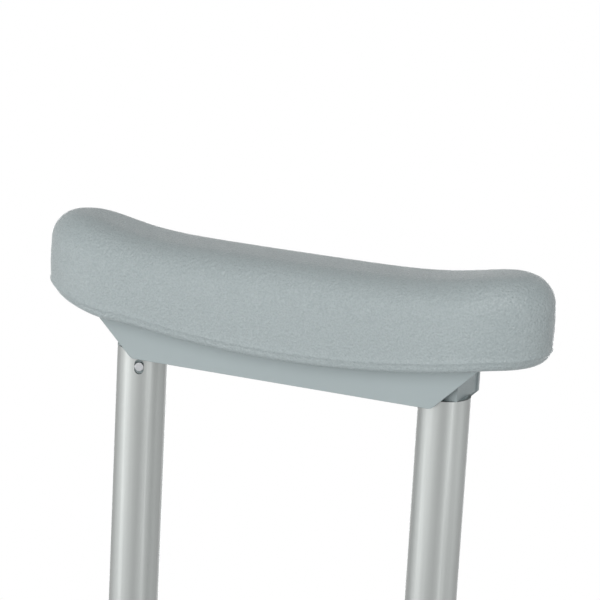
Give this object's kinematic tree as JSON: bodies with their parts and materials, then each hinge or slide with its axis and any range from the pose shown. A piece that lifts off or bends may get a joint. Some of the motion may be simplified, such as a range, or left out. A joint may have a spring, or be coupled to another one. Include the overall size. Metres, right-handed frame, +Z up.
{
  "type": "underarm crutch",
  "caption": "Aluminium underarm crutch with a dished soft pad, a bolted handgrip that moves between holes, a telescoping leg with a snap button, and a rubber tip.",
  "frame": {"origin": "centre of the rubber tip's sole, on the floor", "axes": "+Z up along the leg, X along the underarm pad and the handgrip, -Y towards the side with the cut-away bracket plate and the snap button"},
  "size_m": [0.2274, 0.043, 1.1489],
  "materials": {
    "pad_vinyl": "soft grained vinyl foam",
    "bracket_plastic": "satin",
    "tube_aluminium": "satin anodised",
    "zinc_steel": "zinc plated",
    "spring_steel": "blued",
    "dark_plastic": "satin",
    "tip_rubber": "matte"
  },
  "bodies": {
    "leg": {"leg_tube": "tube_aluminium", "leg_top_plug": "dark_plastic", "button_spring": "spring_steel", "tip_washer": "zinc_steel", "rubber_tip": "tip_rubber"},
    "frame": {"underarm_pad": "pad_vinyl", "pad_insert": "dark_plastic", "pad_screws": "zinc_steel", "underarm_bracket": "bracket_plastic", "bracket_pins": "zinc_steel", "bow_left": "tube_aluminium", "bow_right": "tube_aluminium", "bow_end_plugs": "dark_plastic", "bow_saddles": "dark_plastic", "joining_rivets": "zinc_steel", "centre_tube": "tube_aluminium", "centre_tube_cap": "dark_plastic", "leg_collar": "dark_plastic"},
    "snap_button": {"snap_button": "zinc_steel"},
    "handgrip": {"grip_core": "dark_plastic", "grip_sleeve": "pad_vinyl", "grip_end_left": "bracket_plastic", "grip_end_right": "bracket_plastic"},
    "grip_bolt": {"grip_bolt": "zinc_steel", "bolt_washer": "zinc_steel"},
    "nut_washer": {"nut_washer": "zinc_steel"},
    "wing_nut": {"wing_nut": "zinc_steel"}
  },
  "joints": [
    {"name": "leg_height", "type": "slide", "parent": "leg", "child": "frame", "axis": [0, 0, 1], "range_m": [0, 0.1524]},
    {"name": "snap_button_press", "type": "slide", "parent": "leg", "child": "snap_button", "axis": [0, 1, 0], "range_m": [0, 0.0043], "stiffness_N_per_m": 600, "springref_m": -0.003, "deforming": ["button_spring"]},
    {"name": "grip_height", "type": "slide", "parent": "frame", "child": "handgrip", "axis": [0, 0, 1], "range_m": [0, 0.1524]},
    {"name": "grip_bolt_pull", "type": "slide", "parent": "handgrip", "child": "grip_bolt", "axis": [-1, 0, 0], "range_m": [0, 0.18]},
    {"name": "wing_nut_travel", "type": "slide", "parent": "handgrip", "child": "nut_washer", "axis": [1, 0, 0], "range_m": [0, 0.014]},
    {"name": "wing_nut_turn", "type": "hinge", "parent": "nut_washer", "child": "wing_nut", "pos_m": [0.0823, 0, 0.685], "axis": [1, 0, 0], "range_deg": [0, 5040]}
  ],
  "couplings": [
    {"joint": "wing_nut_turn", "follows": "wing_nut_travel", "rad_per_m": 6283.2}
  ]
}
